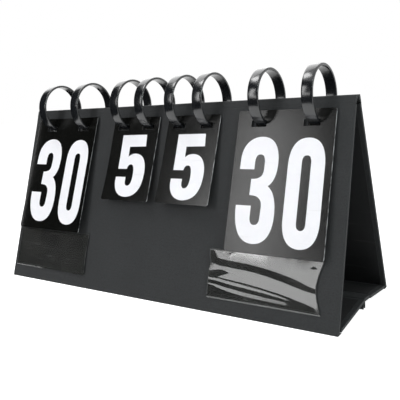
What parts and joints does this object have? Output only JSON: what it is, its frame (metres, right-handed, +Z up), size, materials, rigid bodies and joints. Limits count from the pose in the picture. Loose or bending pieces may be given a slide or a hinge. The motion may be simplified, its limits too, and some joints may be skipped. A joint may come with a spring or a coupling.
{
  "type": "tabletop flip scoreboard",
  "caption": "Folding tent of covered board with flip number cards on plastic binder rings and clear name pockets.",
  "frame": {"origin": "centre of the base, on the table", "axes": "+X along the ridge, -Y towards the players, out of the front panel, +Z up"},
  "size_m": [0.385, 0.1186, 0.2067],
  "materials": {
    "cover_vinyl": "embossed charcoal vinyl",
    "greyboard": "raw grey board",
    "lining_paper": "matte black lining",
    "ring_plastic": "glossy black plastic",
    "card_plastic": "satin black sheet",
    "clear_film": "clear soft film",
    "weld_seam": "welded film edge",
    "hook_and_loop": "black hook and loop tape"
  },
  "bodies": {
    "front_panel": {"front_cover": "cover_vinyl", "front_board": "greyboard", "front_lining": "lining_paper", "ridge_hinge": "cover_vinyl", "front_foot_hinge": "cover_vinyl", "left_pocket_seam": "weld_seam", "left_pocket_film": "clear_film", "right_pocket_seam": "weld_seam", "right_pocket_film": "clear_film"},
    "rear_panel": {"rear_cover": "cover_vinyl", "rear_board": "greyboard", "rear_lining": "lining_paper", "rear_foot_hinge": "cover_vinyl", "left_points_cards_00_05": "card_plastic", "left_points_cards_06_11": "card_plastic", "left_points_cards_12_17": "card_plastic", "left_points_cards_18_23": "card_plastic", "left_points_cards_24_28": "card_plastic", "left_sets_card_0": "card_plastic", "left_sets_card_1": "card_plastic", "left_sets_card_2": "card_plastic", "left_sets_card_3": "card_plastic", "right_sets_card_0": "card_plastic", "right_sets_card_1": "card_plastic", "right_sets_card_2": "card_plastic", "right_sets_card_3": "card_plastic", "right_points_cards_00_05": "card_plastic", "right_points_cards_06_11": "card_plastic", "right_points_cards_12_17": "card_plastic", "right_points_cards_18_23": "card_plastic", "right_points_cards_24_28": "card_plastic"},
    "front_flap": {"front_flap_cover": "cover_vinyl", "front_flap_board": "greyboard", "front_flap_lining": "lining_paper", "front_closure_lip": "cover_vinyl", "hook_tape": "hook_and_loop"},
    "rear_flap": {"rear_flap_cover": "cover_vinyl", "rear_flap_board": "greyboard", "rear_flap_lining": "lining_paper", "rear_closure_lip": "cover_vinyl", "loop_tape": "hook_and_loop"},
    "ring_1": {"ring_1": "ring_plastic"},
    "ring_2": {"ring_2": "ring_plastic"},
    "ring_3": {"ring_3": "ring_plastic"},
    "ring_4": {"ring_4": "ring_plastic"},
    "ring_5": {"ring_5": "ring_plastic"},
    "ring_6": {"ring_6": "ring_plastic"},
    "ring_7": {"ring_7": "ring_plastic"},
    "ring_8": {"ring_8": "ring_plastic"},
    "left_points_30": {"left_points_card_30": "card_plastic"},
    "left_points_29": {"left_points_card_29": "card_plastic"},
    "left_sets_5": {"left_sets_card_5": "card_plastic"},
    "left_sets_4": {"left_sets_card_4": "card_plastic"},
    "right_sets_5": {"right_sets_card_5": "card_plastic"},
    "right_sets_4": {"right_sets_card_4": "card_plastic"},
    "right_points_30": {"right_points_card_30": "card_plastic"},
    "right_points_29": {"right_points_card_29": "card_plastic"}
  },
  "joints": [
    {"name": "stand_fold", "type": "hinge", "parent": "front_panel", "child": "rear_panel", "pos_m": [0, 0, 0.17896], "axis": [-1, 0, 0], "range_deg": [0, 30.5], "deforming": ["ridge_hinge", "front_foot_hinge", "rear_foot_hinge", "front_closure_lip", "rear_closure_lip", "hook_tape", "loop_tape"]},
    {"name": "front_flap_fold", "type": "hinge", "parent": "front_panel", "child": "front_flap", "pos_m": [0, -0.05437, 0.0036], "axis": [1, 0, 0], "range_deg": [0, 67.01]},
    {"name": "rear_flap_fold", "type": "hinge", "parent": "rear_panel", "child": "rear_flap", "pos_m": [0, 0.05437, 0.0036], "axis": [-1, 0, 0], "range_deg": [0, 67.01]},
    {"name": "ring_1_turn", "type": "hinge", "parent": "front_panel", "child": "ring_1", "pos_m": [-0.1593, 0, 0.18036], "axis": [-1, 0, 0], "range_deg": [0, 269.6]},
    {"name": "left_points_30_hang", "type": "hinge", "parent": "ring_1", "child": "left_points_30", "pos_m": [-0.1593, -0.01293, 0.15885], "axis": [-1, 0, 0], "range_deg": [0, 51.2]},
    {"name": "ring_2_turn", "type": "hinge", "parent": "rear_panel", "child": "ring_2", "pos_m": [-0.1093, 0, 0.18036], "axis": [-1, 0, 0], "range_deg": [-270.8, 0]},
    {"name": "left_points_29_hang", "type": "hinge", "parent": "ring_2", "child": "left_points_29", "pos_m": [-0.1093, 0.0201, 0.16533], "axis": [-1, 0, 0], "range_deg": [-50.01, 0]},
    {"name": "ring_3_turn", "type": "hinge", "parent": "front_panel", "child": "ring_3", "pos_m": [-0.0517, 0, 0.18036], "axis": [-1, 0, 0], "range_deg": [0, 290.8]},
    {"name": "left_sets_5_hang", "type": "hinge", "parent": "ring_3", "child": "left_sets_5", "pos_m": [-0.0517, -0.01293, 0.15885], "axis": [-1, 0, 0], "range_deg": [0, 29.71]},
    {"name": "ring_4_turn", "type": "hinge", "parent": "rear_panel", "child": "ring_4", "pos_m": [-0.0193, 0, 0.18036], "axis": [-1, 0, 0], "range_deg": [-290.86, 0]},
    {"name": "left_sets_4_hang", "type": "hinge", "parent": "ring_4", "child": "left_sets_4", "pos_m": [-0.0193, 0.01372, 0.15935], "axis": [-1, 0, 0], "range_deg": [-29.65, 0]},
    {"name": "ring_5_turn", "type": "hinge", "parent": "front_panel", "child": "ring_5", "pos_m": [0.0181, 0, 0.18036], "axis": [-1, 0, 0], "range_deg": [0, 290.8]},
    {"name": "right_sets_5_hang", "type": "hinge", "parent": "ring_5", "child": "right_sets_5", "pos_m": [0.0181, -0.01293, 0.15885], "axis": [-1, 0, 0], "range_deg": [0, 29.71]},
    {"name": "ring_6_turn", "type": "hinge", "parent": "rear_panel", "child": "ring_6", "pos_m": [0.0505, 0, 0.18036], "axis": [-1, 0, 0], "range_deg": [-290.86, 0]},
    {"name": "right_sets_4_hang", "type": "hinge", "parent": "ring_6", "child": "right_sets_4", "pos_m": [0.0505, 0.01372, 0.15935], "axis": [-1, 0, 0], "range_deg": [-29.65, 0]},
    {"name": "ring_7_turn", "type": "hinge", "parent": "front_panel", "child": "ring_7", "pos_m": [0.1092, 0, 0.18036], "axis": [-1, 0, 0], "range_deg": [0, 269.6]},
    {"name": "right_points_30_hang", "type": "hinge", "parent": "ring_7", "child": "right_points_30", "pos_m": [0.1092, -0.01293, 0.15885], "axis": [-1, 0, 0], "range_deg": [0, 52.8]},
    {"name": "ring_8_turn", "type": "hinge", "parent": "rear_panel", "child": "ring_8", "pos_m": [0.1592, 0, 0.18036], "axis": [-1, 0, 0], "range_deg": [-270.8, 0]},
    {"name": "right_points_29_hang", "type": "hinge", "parent": "ring_8", "child": "right_points_29", "pos_m": [0.1592, 0.0201, 0.16533], "axis": [-1, 0, 0], "range_deg": [-51.61, 0]}
  ],
  "couplings": [
    {"joint": "front_flap_fold", "follows": "stand_fold", "ratio": 2.1969},
    {"joint": "rear_flap_fold", "follows": "stand_fold", "ratio": 2.1969},
    {"joint": "left_points_30_hang", "follows": "ring_1_turn", "ratio": 0.1899},
    {"joint": "left_points_29_hang", "follows": "ring_2_turn", "ratio": 0.18466},
    {"joint": "left_sets_5_hang", "follows": "ring_3_turn", "ratio": 0.10215},
    {"joint": "left_sets_4_hang", "follows": "ring_4_turn", "ratio": 0.10192},
    {"joint": "right_sets_5_hang", "follows": "ring_5_turn", "ratio": 0.10215},
    {"joint": "right_sets_4_hang", "follows": "ring_6_turn", "ratio": 0.10192},
    {"joint": "right_points_30_hang", "follows": "ring_7_turn", "ratio": 0.19583},
    {"joint": "right_points_29_hang", "follows": "ring_8_turn", "ratio": 0.19056}
  ]
}
